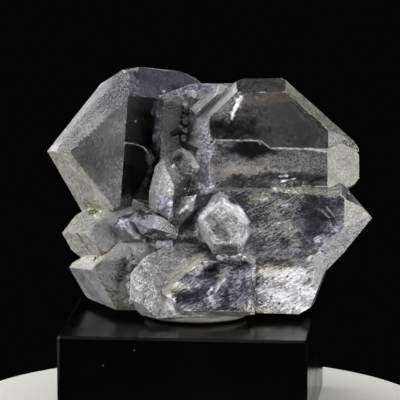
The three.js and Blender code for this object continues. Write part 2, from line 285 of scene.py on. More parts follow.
# What it is, its shape, how soft its edge is in mm, its finish, and the face that holds it if one does.
MARKS = [
    # The large left point.
    ("coarse etching", oval((-18.8, 19.4), (4.8, 3.2), 35), 2,
     dict(haze=0.06, grain=1.0, tint=LILAC), "left point, upper"),
    ("pale outer edge", streak([(-32, 8.5), (-28, 13.5), (-24.5, 18.5), (-21, 21.5)], 1), 1.6,
     dict(haze=0.24, grain=0.4), "left point, upper"),
    # Painted highlight on the tip of the left point.
    ("highlight on the tip", oval((-31, 9), (1, 0.6), 40), 0.4, dict(haze=0.5), None),
    ("darker middle", oval((-21.5, 9), (4, 6.5), -20), 2.5, dict(haze=0.09), "left point, front"),
    ("pale foot", oval((-22, -1), (5, 1.6), 10), 1.5, dict(haze=0.4), "left point, lower"),
    ("etched end", oval((-15.6, 22), (1.2, 3)), 1, dict(haze=0.13, grain=1.0), "left point, top"),
    ("glint", oval((-9.5, 20.4), (0.3, 0.25)), 0.2, dict(haze=1.0), "left point, top"),
    ("scar", streak([(-7.4, 21.6), (-6.8, 20.4), (-5.6, 19)], 0.22), 0.25, dict(haze=0.56), None),
    ("growth step", streak([(-17.2, 9.9), (-14.9, 9.7), (-13.3, 9), (-12.3, 7.6)], 0.09), 0.16,
     dict(haze=0.32, grain=0.3), "left point, window"),
    ("etched strip", streak([(-12.2, 7.6), (-12.4, 3), (-13.6, 0.9)], 0.5), 0.7,
     dict(haze=0.072, grain=1.0), "left point, window"),
    ("speck", oval((-14.9, 14.2), (0.14, 0.14)), 0.16, dict(haze=0.24), "left point, window"),
    ("etched foot", oval((-14.5, -2.2), (4.5, 2.2)), 1.6,
     dict(haze=0.056, grain=1.0, tint=OLIVE), "left point, window"),
    ("thin veil", oval((-10.4, 14), (0.9, 5.4)), 0.8, dict(haze=0.04, grain=0.6, tint=LILAC), None),
    # Painted shade: the ground between the left point and the plates gets a dark grey frost.
    ("etched ground", oval((-7, 13.6), (3.4, 6)), 1.6,
     dict(haze=0.2, grain=1, tint=GROUND_SHADE_GREY, dust=0, edge_bruise_and_highlight=0.1), None),
    # The upper plate of the right crystal.
    ("dark zone", oval((3.5, 13), (4.8, 3)), 3, dict(haze=0.01, grain=0.3), "upper plate"),
    ("streaky saddle", oval((-2.6, 21), (4.6, 1.6)), 1.4,
     dict(haze=0.19, grain=0.6, fibre=0.9, tint=LILAC), None),
    ("frosted corner", oval((1.4, 17.6), (3.4, 2.2), 40), 2,
     dict(haze=0.14, grain=0.7), "upper plate"),
    ("warm band", streak([(7.2, 18.7), (11, 18.6), (14, 18.9), (16.6, 19.5)], 1.1), 0.7,
     dict(haze=0.095, grain=0.3, tint=PINK), "upper plate"),
    ("fringe of the feather", oval((4.7, 16.8), (0.9, 2.4), -20), 1.2,
     dict(haze=0.09, grain=0.8, tint=WHITE), "upper plate"),
    ("ends of the feather", streak([(4.1, 14.6), (4.5, 16.2), (5, 17.6), (5.9, 19.1)], 0.1), 0.4,
     dict(haze=0.8, grain=0, tint=WHITE), "upper plate"),
    ("feather", streak([(4.4, 15.7), (4.8, 17), (5.4, 18.3)], 0.28), 0.5,
     dict(haze=1.0, grain=0.0, tint=WHITE), "upper plate"),
    ("hook of the feather", streak([(5.3, 18), (6, 18.5)], 0.12), 0.25,
     dict(haze=0.5, grain=0, tint=WHITE), "upper plate"),
    ("glint by the top", oval((4.1, 19.4), (0.25, 0.25)), 0.2, dict(haze=0.64), "upper plate"),
    ("left glint", oval((-1.4, 15.6), (0.3, 0.25)), 0.25, dict(haze=0.64), None),
    # Painted highlight: the light from above caught along the ledge where the lower plate stands proud of
    # the upper one.
    ("highlight along the ledge, left", streak([(-0.4, 10.5), (7.7, 10.5), (10.1, 10.2), (11.9, 8.9)], 0.1),
     0.17, dict(haze=0.4, grain=0.7), None),
    ("highlight along the ledge, right", streak([(11.9, 8.9), (18.6, 8.8), (20.6, 8.6), (23.2, 8.1)], 0.12),
     0.17, dict(haze=0.44, grain=0.7), None),
    # The lower plate.
    ("lilac cloud", oval((1.2, 8.2), (3.2, 2.4)), 2,
     dict(haze=0.08, grain=0.9, tint=LILAC), "lower plate"),
    ("dark patch", oval((8.2, 8.4), (4.9, 1.8)), 1.2, dict(haze=0.01, grain=0.4), "lower plate"),
    ("pink band", streak([(-1, 4.4), (5, 4.7), (9.4, 4.9)], 1.1), 1.4,
     dict(haze=0.27, grain=0.25, tint=PINK), "lower plate"),
    ("pink tail", streak([(9.6, 5.2), (14.6, 4.1), (17.6, 4.5)], 0.2), 0.5,
     dict(haze=0.3, grain=0.5, tint=PINK), "lower plate"),
    ("combed foot", oval((12, 1.5), (11.5, 2.2), 5), 1.4,
     dict(haze=0.045, grain=0.3, fibre=1.0), "lower plate"),
    ("dark gap", oval((8.7, 0.6), (4, 0.8)), 0.8, dict(haze=0.032), "lower plate"),
    ("upper fibre", streak([(13.6, 3.3), (15.3, 3.5)], 0.1), 0.25,
     dict(haze=0.9, tint=WHITE), "lower plate"),
    ("lower fibre", streak([(14, 2.3), (16.8, 2.9)], 0.1), 0.25,
     dict(haze=0.64, tint=WHITE), "lower plate"),
    ("beige ledge", streak([(12.6, 0.5), (20.6, 0.6)], 0.6), 0.7,
     dict(haze=0.32, grain=0.9, fibre=0.4, tint=WARM), None),
    ("milky end", oval((-1.8, 7), (1.5, 6.6)), 1.2, dict(haze=0.42, grain=0.8, tint=LILAC), None),
    ("green specks", oval((24.2, 0), (3.4, 0.9)), 0.8, dict(haze=0.26, grain=1.0, dust=0.7), None),
    # The lower right crystal.
    ("smoky window", oval((21.2, -5), (3.4, 3.2)), 3,
     dict(haze=0.034, grain=0.6, fibre=0.3), "lower crystal"),
    ("lilac edge", oval((25.4, -3.6), (1, 3.4)), 1, dict(haze=0.08, grain=0.4), "lower crystal"),
    ("grey ground", oval((11.5, -6), (5, 5)), 3,
     dict(haze=0.09, grain=0.6, fibre=1, tint=GREY), "lower crystal"),
    ("combed top", streak([(7.7, -1), (17.6, -0.4)], 0.7), 1.2,
     dict(haze=0.21, grain=0.7, fibre=1.0, tint=WARM), "lower crystal"),
    ("left wisp", streak([(10, -1.4), (12, -3.4), (13.4, -6)], 0.3), 1.4,
     dict(haze=0.27, grain=0.7, fibre=0.7, tint=WARM), "lower crystal"),
    ("middle wisp", streak([(16, -4), (15.8, -8.2), (17.2, -11.4)], 0.4), 1.8,
     dict(haze=0.21, grain=0.6, fibre=0.5, tint=WARM), "lower crystal"),
    ("dark hollow", oval((14.2, -9.8), (1.1, 1.4)), 1, dict(haze=0.024, grain=0.8), "lower crystal"),
    ("outer arc", streak([(22.9, -2.8), (24.2, -4.4), (25, -5.8)], 0.05), 0.3,
     dict(haze=0.24, grain=0.4, tint=WARM), "lower crystal"),
    ("inner arc", streak([(22, -3.4), (23.2, -4.8), (24, -6.2)], 0.05), 0.3,
     dict(haze=0.21, grain=0.4, tint=WARM), "lower crystal"),
    ("bright lower rim", streak([(20.8, -9.2), (23.5, -8.3), (25.4, -6.4)], 0.3), 0.8,
     dict(haze=0.29, grain=1.0, fibre=0.6), "lower crystal"),
    # The right foot.
    ("tan stain", oval((11.2, -13.8), (4, 1.8), 8), 2,
     dict(haze=0.14, grain=0.3, fibre=1.0, tint=TAN), "right foot"),
    ("white face", oval((15.6, -20), (5, 3.6)), 3,
     dict(haze=0.68, grain=0.2, fibre=0.75), "right foot"),
    ("seam with the front foot", oval((8.4, -18.6), (1.7, 5.4)), 1.8,
     dict(haze=0.16, grain=0.6, fibre=1.0, edge_bruise_and_highlight=0), None),
    ("pale rim", streak([(-7, -23.7), (5, -23.8), (19.4, -23.8)], 0.5), 0.6,
     dict(haze=0.4, grain=0.6, tint=WARM), None),
    ("combed seam", streak([(8.5, -11.7), (21, -11.6)], 0.6), 0.8,
     dict(haze=0.1, grain=0.3, fibre=1.0, tint=LILAC), None),
    # The front point and the hollows round it.
    ("whole front point", oval((2.2, -7), (5.4, 5.4)), 0.6,
     dict(haze=0.62, grain=0.5, tint=GREY, edge_bruise_and_highlight=0.15), None),
    ("right side of the front point", oval((5, -7.4), (1.4, 3.4), 10), 1.4,
     dict(haze=0.68, grain=0.6), None),
    # Painted highlights: the bright rim, ridge and bevel lines of the front point.
    ("rim of the front point",
     streak([(-1.2, -4), (2, -1.6), (5, -3), (7, -5), (7, -9)], 0.14), 0.4,
     dict(haze=0.6, grain=0.3, tint=WHITE), None),
    ("middle of the front point", oval((1.9, -7.2), (2.4, 3)), 2.4,
     dict(haze=0.26, grain=0.4, fibre=0.2, tint=GREY), None),
    ("highlight on the ridge", oval((3.2, -2.8), (0.8, 0.6)), 0.8, dict(haze=0.56, tint=WHITE), None),
    ("upper bevel line", streak([(2, -1), (6.2, -3.3)], 0.08), 0.25, dict(haze=0.8, tint=WHITE), None),
    ("lower bevel line", streak([(2.4, -1.9), (6.4, -3.9)], 0.1), 0.25,
     dict(haze=0.9, tint=WHITE), None),
    ("dark fleck", oval((0.5, -7.4), (0.4, 0.2), -30), 0.3, dict(haze=0.04), None),
    ("second dark fleck", oval((1.3, -8), (0.4, 0.2), -20), 0.3, dict(haze=0.04), None),
    ("gap under the plates", oval((5.1, -1.3), (1.7, 1)), 0.7, dict(haze=0.016, grain=0.8), None),
    ("white layers", oval((4.3, -11.6), (3.2, 1.6)), 1,
     dict(haze=0.26, grain=0.3, fibre=1, tint=WHITE), None),
    ("crack between layers", streak([(3.4, -11.9), (6.7, -11.8)], 0.1), 0.25, dict(haze=0.016), None),
    ("crack under the layers", streak([(2.2, -13.6), (7.3, -13.6)], 0.2), 0.5, dict(haze=0.016), None),
    # The small upright crystals.
    ("frosted head", oval((-6, 6.2), (1.8, 1.6)), 0.9, dict(haze=0.12, grain=0.8), None),
    ("head glint", oval((-7.5, 5.3), (0.25, 0.25)), 0.25, dict(haze=1.0), None),
    ("corner glint", streak([(-3.8, 5.3), (-2.6, 4.8)], 0.12), 0.25, dict(haze=0.64), None),
    ("upright window", flat([(-6.2, 3.1), (-7.3, 0.6), (-7.3, -4.6), (-4.2, -1.4), (-3, 0.6), (-3.5, 3)]),
     0.9, dict(haze=0.04, grain=1.0, tint=GREY), None),
    # Painted highlights along the edges of the upright crystals.
    ("highlight on the upright edge", streak([(-8.1, 0.4), (-8.1, -4.2)], 0.15), 0.5, dict(haze=0.9, tint=WHITE), None),
    ("highlight along the slender crystal", streak([(-2.6, 0), (-4.2, -2), (-6.2, -4)], 0.14), 0.4,
     dict(haze=0.9, tint=WHITE), None),
    ("olive hollow", oval((-4.1, -6.9), (1.3, 1.1)), 0.7, dict(haze=0.048, grain=0.8, tint=OLIVE), None),
    ("stub body", oval((-12.9, -6.4), (2.3, 1.6), -20), 0.8,
     dict(haze=0.28, grain=0.5, fibre=0.4, tint=LILAC), None),
    ("stub rim", streak([(-15.4, -5.7), (-14.3, -3.6), (-12.1, -3.7), (-9.8, -4.6)], 0.12), 0.3,
     dict(haze=0.9), None),
    ("stub lower edge", streak([(-15.4, -5.9), (-14.3, -7.3), (-11.8, -9.3)], 0.1), 0.3,
     dict(haze=0.6), None),
    ("crevice under the stub", streak([(-15.2, -6.8), (-13.8, -8.4), (-12, -10)], 0.14), 0.3,
     dict(haze=0.02, tint=OLIVE), None),
    ("crevice over the stub", streak([(-13.2, -2.4), (-11, -4), (-8.7, -5.1)], 0.12), 0.3,
     dict(haze=0.02, tint=OLIVE), None),
    ("stub dark spot", oval((-13.6, -4.3), (1.1, 0.8)), 0.6, dict(haze=0.048, grain=0.8), None),
    ("dome rim", streak([(-19.4, -6.4), (-18.4, -4.6), (-15.9, -3.9)], 0.12), 0.3, dict(haze=0.8), None),
    ("dome grain", oval((-17.2, -5.9), (1.3, 1.1)), 0.8, dict(haze=0.31, grain=1.0, tint=LILAC), None),
    # The two lower left crystals and the sugary band beside them.
    ("lower left window", flat([(-21.2, -5), (-24.2, -7.9), (-22.8, -11.1), (-18, -10.9), (-18.8, -7.5)]),
     0.6, dict(haze=0.175, grain=0.3, tint=GREY), "lower left, front"),
    ("fine crack", streak([(-28.9, -7.9), (-26.6, -8)], 0.08), 0.2, dict(haze=0.08, tint=OLIVE), None),
    ("brown groove", streak([(-26.4, -8.5), (-24.9, -10.9), (-22.8, -12.9)], 0.06), 0.4,
     dict(haze=0.2, dust=0.5, tint=OLIVE), None),
    ("pink foot", streak([(-22.4, -12.2), (-18.4, -12.2)], 0.4), 1, dict(haze=0.3, tint=PINK), None),
    ("green dust", oval((-23.7, -2.8), (2.4, 1.6)), 1.4,
     dict(haze=0.4, grain=1.0, dust=1, tint=OLIVE), None),
    ("lowest left window", flat([(-23.1, -13.2), (-23.4, -16.8), (-21.8, -18.7), (-18.7, -18.7),
                                 (-15.9, -15.9), (-17.6, -13.2)]),
     0.6, dict(haze=0.175, grain=0.25), "lowest left, front"),
    ("purple blotch", oval((-18.4, -16.5), (1, 0.8)), 0.8, dict(haze=0.08, grain=1.0, tint=LILAC), None),
    ("second blotch", oval((-17.1, -14.3), (0.8, 0.6)), 0.6, dict(haze=0.096, grain=1.0), None),
    ("pale fold", streak([(-16.5, -21.3), (-14.5, -20.4)], 0.12), 0.4, dict(haze=0.48), None),
    ("olive lozenge", oval((-14.7, -19.5), (1.4, 0.5), -45), 0.4, dict(haze=0.08, tint=OLIVE), None),
    ("sugary band", oval((-13, -16.4), (2.4, 7.2)), 1.6, dict(haze=0.36, grain=0.7, tint=GREY), None),
    ("crevice by the band", streak([(-16.8, -9.6), (-15.9, -11.5), (-15.4, -13.4), (-15.9, -15.9)], 0.12),
     0.3, dict(haze=0.03, tint=OLIVE), None),
    # The front foot.
    ("greenish ledge", streak([(-8.1, -8.4), (-2.6, -8.4)], 0.4), 0.7,
     dict(haze=0.34, grain=0.8, dust=0.3, tint=WARM), None),
    ("dark triangle", flat([(-2.2, -9.9), (-5.8, -13.2), (1, -13.6), (0.3, -11.2), (-0.6, -10.2)]), 1,
     dict(haze=0.045, grain=1.0, tint=GREY), None),
    ("black top of the window", oval((-0.4, -14.8), (1.9, 1.1)), 1, dict(haze=0.006), "foot, window"),
    ("pale crescent", streak([(-2, -13.5), (-5.4, -14.8), (-7.9, -17.4), (-8.9, -21)], 1.1), 1.6,
     dict(haze=0.43, grain=0.3, tint=WARM, edge_bruise_and_highlight=0), None),
    # Painted highlight at the lower end of the pale crescent.
    ("highlight at the corner", oval((-7.9, -21.7), (0.9, 1.5), 12), 0.7, dict(haze=1, grain=0.1, tint=WHITE), None),
    ("flash", oval((0.6, -20.2), (1.4, 3.6), -32), 1.8,
     dict(haze=0.27, fibre=1.0, tint=LILAC), "foot, window"),
    *(("stroke in the flash", streak([low, high], 0.08), 0.5,
       dict(haze=0.7, grain=0.1, fibre=0.5, tint=WHITE), "foot, window") for low, high in FLASH),
    ("warm wisp", streak([(1, -17.2), (3.6, -14.6)], 0.3), 1,
     dict(haze=0.21, fibre=0.8, tint=WARM), "foot, window"),
    ("left wisps", streak([(-7, -18.8), (-2.4, -18.6)], 0.5), 1.2,
     dict(haze=0.22, grain=0.2, fibre=1.0, tint=WARM), "foot, window"),
    ("combed right part", oval((5.4, -19.4), (1.9, 2.6)), 1.4,
     dict(haze=0.18, grain=0.3, fibre=1.0), "foot, window"),
    ("beige crust", oval((8.2, -22.6), (2.5, 0.9)), 0.9, dict(haze=0.32, grain=1.0, tint=WARM), None),
]


# ---- Quartz: mesh -------------------------------------------------------------------------------

# The longest triangle edge, in mm: where nothing is drawn, out of sight from the front, along the
# crystals' own edges, and at the finest of the markings.
PLAIN_EDGE = 1.4
HIDDEN_EDGE = 4.0
BORDER_EDGE = 0.5
MARK_EDGE = 0.25
# The markings are drawn on triangles that lie no further back than this, in mm, and face forwards
# by more than this: the sine of 2.3 degrees.
MARKED_DEPTH = 5.0
FACING_FORWARDS = 0.04
# Faces that meet at more than this make a real crystal edge or crevice.
SHARP = math.radians(14)
# Triangles this close to one plane, in mm, and this well aligned with it, are one crystal face.
LEVEL_MM = 0.03
ALIGNED = 0.9995
# The soft edge of a marking is drawn on triangles no longer than this share of its width. They lie no
# further from the marking's outline than this share of its width and their own length together.
SOFT_STEP = 0.7
SOFT_REACH = 0.4
# A place in front of the whole cluster, in mm, and enough rounds of halving for its longest edge.
IN_FRONT = -60
ROUNDS = 14


class Skin:
    """The cluster's triangles in its own frame, in mm, with its edges and crevices marked."""

    def __init__(self, source):
        bm = bmesh.new()
        bm.from_mesh(source)
        bmesh.ops.remove_doubles(bm, verts=bm.verts, dist=1e-8)
        bm.transform(Matrix.Scale(1 / MM, 4) @ CLUSTER.inverted())
        bm.normal_update()
        self.points = np.array([v.co for v in bm.verts])
        self.triangles = np.array([[v.index for v in f.verts] for f in bm.faces])
        self.normals = np.array([f.normal for f in bm.faces])
        # The face of the original solid that each triangle is cut from.
        self.origin = np.arange(len(self.triangles))
        turned = [(*sorted(v.index for v in e.verts), e.calc_face_angle_signed(0)) for e in bm.edges]
        self.ridges = np.array([(i, j) for i, j, angle in turned if angle > SHARP])
        self.crevices = np.array([(i, j) for i, j, angle in turned if angle < -SHARP])
        self.on_ridge = np.zeros(len(self.points), bool)
        self.on_ridge[self.ridges] = True
        self.in_crevice = np.zeros(len(self.points), bool)
        self.in_crevice[self.crevices] = True
        surface = BVHTree.FromBMesh(bm)
        self.holds = {name: self.level_with(surface, spot) for name, (spot, _look) in FACES.items()}
        bm.free()

    def level_with(self, surface, spot):
        """Which original faces lie in one plane with the one that shows at this spot."""
        hit, normal, *_rest = surface.ray_cast(Vector((spot[0], IN_FRONT, spot[1])), Vector((0, 1, 0)))
        middles = self.points[self.triangles].mean(axis=1)
        level = abs((middles - np.array(hit)) @ np.array(normal)) < LEVEL_MM
        return level & (self.normals @ np.array(normal) > ALIGNED)

    def seen(self):
        """Which triangles face forwards and aren't at the back."""
        near = self.points[self.triangles][:, :, 1].mean(axis=1) < MARKED_DEPTH
        return near & (self.normals[self.origin][:, 1] < -FACING_FORWARDS)

    def refine(self):
        """Halves edges until none is longer than it may be."""
        for _ in range(ROUNDS):
            if not self.split_once():
                break

    def split_once(self):
        """Halves every edge that is too long, all at once. It says whether there was one."""
        count = len(self.points)
        edges = np.sort(self.triangles[:, [[0, 1], [1, 2], [2, 0]]].reshape(-1, 2), axis=1)
        # The two points of each edge, as one number.
        keys, which = np.unique(edges[:, 0] * count + edges[:, 1], return_inverse=True)
        low, high = keys // count, keys % count
        seen = np.zeros(len(keys), bool)
        seen[which.reshape(-1, 3)[self.seen()].ravel()] = True
        middles = (self.points[low] + self.points[high]) / 2
        lengths = np.linalg.norm(self.points[high] - self.points[low], axis=1)
        border = self.on_ridge | self.in_crevice
        longest = allowed_length(middles, lengths, seen, border[low] != border[high])
        split = lengths > longest
        if not split.any():
            return False
        new_point = np.full(len(keys), -1)
        new_point[split] = count + np.arange(split.sum())
        self.points = np.vstack([self.points, middles[split]])
        # A halved ridge is two ridges, and a halved crevice is two crevices.
        for flag, lines in (("on_ridge", "ridges"), ("in_crevice", "crevices")):
            pairs = getattr(self, lines)
            spot = np.searchsorted(keys, pairs[:, 0] * count + pairs[:, 1])
            halved = new_point[spot]
            cut = halved >= 0
            halves = np.vstack([
                pairs[~cut],
                np.column_stack([pairs[cut, 0], halved[cut]]),
                np.column_stack([pairs[cut, 1], halved[cut]]),
            ])
            setattr(self, lines, halves)
            marked = np.zeros(len(self.points), bool)
            marked[halves] = True
            setattr(self, flag, marked)
        self.cut_triangles(new_point[which].reshape(-1, 3))
        return True

    def cut_triangles(self, middle):
        """Cuts each triangle by the new points on its three edges, where -1 means none."""
        done = [(self.triangles[(middle < 0).all(axis=1)], self.origin[(middle < 0).all(axis=1)])]
        for turn in range(3):
            a, b, c = np.roll(self.triangles, -turn, axis=1).T
            ab, bc, ca = np.roll(middle, -turn, axis=1).T
            one = (ab >= 0) & (bc < 0) & (ca < 0)
            two = (ab >= 0) & (bc >= 0) & (ca < 0)
            # With two edges cut, what is left of the triangle is split along its shorter diagonal.
            flat_cut = np.zeros(len(a), bool)
            flat_cut[two] = (
                np.linalg.norm(self.points[a[two]] - self.points[bc[two]], axis=1)
                < np.linalg.norm(self.points[c[two]] - self.points[ab[two]], axis=1)
            )
            steep_cut = two & ~flat_cut
            for rows, corners in (
                (one, (a, ab, c)), (one, (ab, b, c)), (two, (ab, b, bc)),
                (flat_cut, (a, ab, bc)), (flat_cut, (a, bc, c)),
                (steep_cut, (a, ab, c)), (steep_cut, (ab, bc, c)),
            ):
                done.append((np.column_stack([corner[rows] for corner in corners]), self.origin[rows]))
        three = (middle >= 0).all(axis=1)
        a, b, c = self.triangles[three].T
        ab, bc, ca = middle[three].T
        for corners in ((a, ab, ca), (ab, b, bc), (ca, bc, c), (ab, bc, ca)):
            done.append((np.column_stack(corners), self.origin[three]))
        self.triangles = np.vstack([triangles for triangles, _origin in done])
        self.origin = np.concatenate([origin for _triangles, origin in done])

    def mesh(self):
        """The skin as a mesh in its place on the block."""
        made = bpy.data.meshes.new("quartz")
        made.from_pydata(self.points.tolist(), [], self.triangles.tolist())
        made.transform(CLUSTER @ Matrix.Scale(MM, 4))
        return made


def allowed_length(middles, lengths, seen, borders):
    """The longest that each edge may be: short where a marking or a border has to be drawn."""
    drawn = seen & (lengths > MARK_EDGE)
    longest = np.where(seen, PLAIN_EDGE, HIDDEN_EDGE)
    longest[borders & seen] = BORDER_EDGE
    rows = np.flatnonzero(drawn)
    x, _y, z = middles[rows].T
    finest = longest[rows]
    for _label, shape, soft, _look, _face in MARKS:
        # Only the edge of a marking needs small triangles, and the softer it is, the larger they may be.
        near = abs(shape(x, z)) < SOFT_REACH * soft + SOFT_REACH * finest
        finest[near] = np.minimum(finest[near], max(SOFT_STEP * soft, MARK_EDGE))
    longest[rows] = finest
    return longest


# ---- Quartz: finish -----------------------------------------------------------------------------

def wobble(points, size, seed):
    """Smooth repeatable unevenness of about -1 to 1, with lumps about size mm across."""
    draw = np.random.default_rng(seed)
    total = np.zeros(len(points))
    for _ in range(14):
        wave = draw.normal(size=3)
        wave *= 2 * math.pi / (size * draw.uniform(1.2, 3) * np.linalg.norm(wave))
        total += np.sin(points @ wave + draw.uniform(0, 2 * math.pi))
    return total / 4


# Etching bites some face directions more than others: how fast that changes as a face turns.
BITE_TURN = (9.0, 7.0, 5.0)
BITE_CONTRAST = 1.6
# The haze of a face that isn't bitten, and what the strongest bite adds to it.
LEAST_HAZE = 0.04
BITTEN_HAZE = 0.24
# What the haziest patches add, and about how wide the patches are.
PATCHY_HAZE = 0.1
PATCH_MM = 7
# The share of the haze that a face loses if it looks straight up.
CLEARER_ON_TOP = 0.4
# How strongly a face is combed where it is neither bitten nor patchy.
COMBED = 0.7
# How far the edge of a marking wanders, as a share of its softness.
WANDER = 0.45
# How much the combed streaks gather into wisps.
WISPY = 0.7
# The haze of a crystal edge that is bruised and carries a painted highlight, and how much of the way to it
# the strongest one goes.
BRUISE_AND_HIGHLIGHT_HAZE = 0.8
BRUISE_AND_HIGHLIGHT_SHARE = 0.6
# Along the crevices: their chlorite dust, and the share of the haze that is taken away there as painted
# shade, to darken them.
CREVICE_DUST = 0.6
CREVICE_SHADE = 0.5


def default_finish(at, facing):
    """The finish of a face that has no name."""
    finish = {channel: np.full(len(facing), float(usual)) for channel, usual in PLAIN.items()}
    bitten = (0.5 + 0.5 * np.sin(facing @ BITE_TURN)) ** BITE_CONTRAST
    patchy = step(-0.6, 0.6, wobble(at, PATCH_MM, 17))
    finish["haze"] = LEAST_HAZE + BITTEN_HAZE * bitten + PATCHY_HAZE * patchy
    finish["haze"] *= 1 - CLEARER_ON_TOP * step(0.5, 0.95, facing[:, 2])
    finish["fibre"] = COMBED * (1 - bitten) * (1 - patchy)
    return finish, np.tile(linear(GREY), (len(facing), 1))


def quartz_finish(skin, mesh):
    """Writes each triangle corner's haze, grain, fibre, dust and tint onto the mesh."""
    corners = skin.triangles.ravel()
    at = skin.points[corners]
    x, _y, z = at.T
    facing = np.repeat(skin.normals[skin.origin], 3, axis=0)
    finish, tint = default_finish(at, facing)
    holds = {name: np.repeat(held[skin.origin], 3) for name, held in skin.holds.items()}
    for name, (_spot, look) in FACES.items():
        for channel, usual in PLAIN.items():
            finish[channel][holds[name]] = look.get(channel, usual)
        tint[holds[name]] = linear(look["tint"])

    seen = np.repeat(skin.seen(), 3)
    # The edges of the markings wander in lumps of about 1.4 mm and, less far, of about 0.6 mm.
    ragged = wobble(at, 1.4, 3) + 0.6 * wobble(at, 0.6, 4)
    for _label, shape, soft, look, face in MARKS:
        rows = np.flatnonzero(holds[face] if face else seen)
        outside = shape(x[rows], z[rows]) + WANDER * soft * ragged[rows]
        share = 1 - step(-soft / 2, soft / 2, outside)
        for channel in PLAIN:
            if channel in look:
                finish[channel][rows] += (look[channel] - finish[channel][rows]) * share
        if "tint" in look:
            tint[rows] += (linear(look["tint"]) - tint[rows]) * share[:, None]

    # No frost is even: it has broad lumps of about 5 mm and fine ones of about 2 mm, and the combed
    # skin has wisps that are longer across than up.
    finish["haze"] *= 1 + 0.16 * wobble(at, 5, 7) + 0.1 * wobble(at, 1.8, 8)
    wisps = wobble(at * (0.6, 1, 1.4), 2.4, 9)
    finish["haze"] *= np.exp(WISPY * finish["fibre"] * wisps)
    # Bruises with painted highlights come and go along the crystal edges, and chlorite dust with painted
    # shade along the crevices.
    bruise_and_highlight = skin.on_ridge[corners] * step(-0.3, 1.1, wobble(at, 1.3, 11)) * finish["edge_bruise_and_highlight"]
    finish["haze"] += (BRUISE_AND_HIGHLIGHT_HAZE - finish["haze"]) * BRUISE_AND_HIGHLIGHT_SHARE * bruise_and_highlight
    crevice_dust_and_shade = skin.in_crevice[corners] * step(-0.4, 0.8, wobble(at, 2.5, 13))
    finish["dust"] = np.maximum(finish["dust"], CREVICE_DUST * crevice_dust_and_shade)
    # Painted shade: the crevices lose haze and so look darker.
    finish["haze"] *= 1 - CREVICE_SHADE * crevice_dust_and_shade

    for channel in ("haze", "grain", "fibre", "dust"):
        layer = mesh.attributes.new(channel, "FLOAT", "CORNER")
        layer.data.foreach_set("value", np.clip(finish[channel], 0, 1).astype(np.float32))
    layer = mesh.attributes.new("tint", "FLOAT_COLOR", "CORNER")
    layer.data.foreach_set("color", tint.astype(np.float32).ravel())
    layer = mesh.attributes.new("place", "FLOAT_VECTOR", "POINT")
    layer.data.foreach_set("vector", skin.points.astype(np.float32).ravel())


# Natural smoky quartz, grown in a rock pocket and etched there. Its flat faces are partly glass-clear
# and partly frosted by etching, so the dark smoky inside shows through some and others look white.
# Etch pits are about 0.1 mm across, and the streaks of growth lines and veils are finer still. Both
# are too fine to show, so they are drawn coarser and deeper than real.
GRAIN_MM = 0.28
FIBRE_MM = 0.34
FIBRE_LONG_MM = 1.6
FIBRE_TILT = math.radians(28)
# How deep the pits are, and the height of the combed ribs as a share of it.
RELIEF_MM = 0.12
RIB_HEIGHT = 0.4
# A fully grained skin is at least as matt as this much frost would make it.
GRAIN_MATT = 0.07
# The grain raises or lowers the haze by up to GRAIN_TIMES. The combing does so by up to GRAIN_TIMES to
# the power of COMBING_POWER, which is about 3.5.
GRAIN_TIMES = 2.6
COMBING_POWER = 1.3
# The smoke inside is grey with a trace of violet, and this dense per metre.
SMOKE = "#b7b2b7"
SMOKE_DENSITY = 450.0


